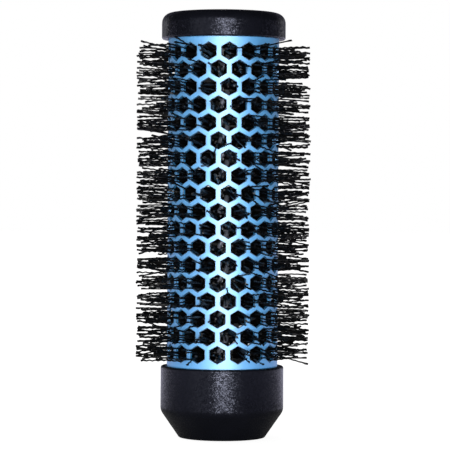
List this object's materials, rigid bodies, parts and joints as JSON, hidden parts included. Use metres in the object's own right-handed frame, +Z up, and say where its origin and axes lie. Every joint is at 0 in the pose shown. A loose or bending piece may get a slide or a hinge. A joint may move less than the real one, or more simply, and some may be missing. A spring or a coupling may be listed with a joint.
{
  "type": "hair roller",
  "caption": "Hair roller: a vented metal brush barrel with bristles held by twisted wires, a moulded end cap and a tapered collar with a socket for a handle.",
  "frame": {"origin": "centre of the ring that the collar stands on", "axes": "+Z up the barrel's axis from the collar to the cap; -Y faces the viewer"},
  "size_m": [0.0565, 0.0565, 0.1378],
  "materials": {
    "anodised_aluminium": "satin blue anodised",
    "moulded_plastic": "black, fine moulded grain",
    "steel_wire": "bright drawn wire",
    "nylon_bristle": "black crimped filament"
  },
  "bodies": {
    "root": {"barrel": "anodised_aluminium", "collar": "moulded_plastic", "cap": "moulded_plastic", "wire_1": "steel_wire", "wire_2": "steel_wire", "bristle_row_01": "nylon_bristle", "bristle_row_02": "nylon_bristle", "bristle_row_03": "nylon_bristle", "bristle_row_04": "nylon_bristle", "bristle_row_05": "nylon_bristle", "bristle_row_06": "nylon_bristle", "bristle_row_07": "nylon_bristle", "bristle_row_08": "nylon_bristle", "bristle_row_09": "nylon_bristle", "bristle_row_10": "nylon_bristle", "bristle_row_11": "nylon_bristle", "bristle_row_12": "nylon_bristle", "bristle_row_13": "nylon_bristle", "bristle_row_14": "nylon_bristle", "bristle_row_15": "nylon_bristle", "bristle_row_16": "nylon_bristle", "bristle_row_17": "nylon_bristle", "bristle_row_18": "nylon_bristle"}
  },
  "joints": []
}
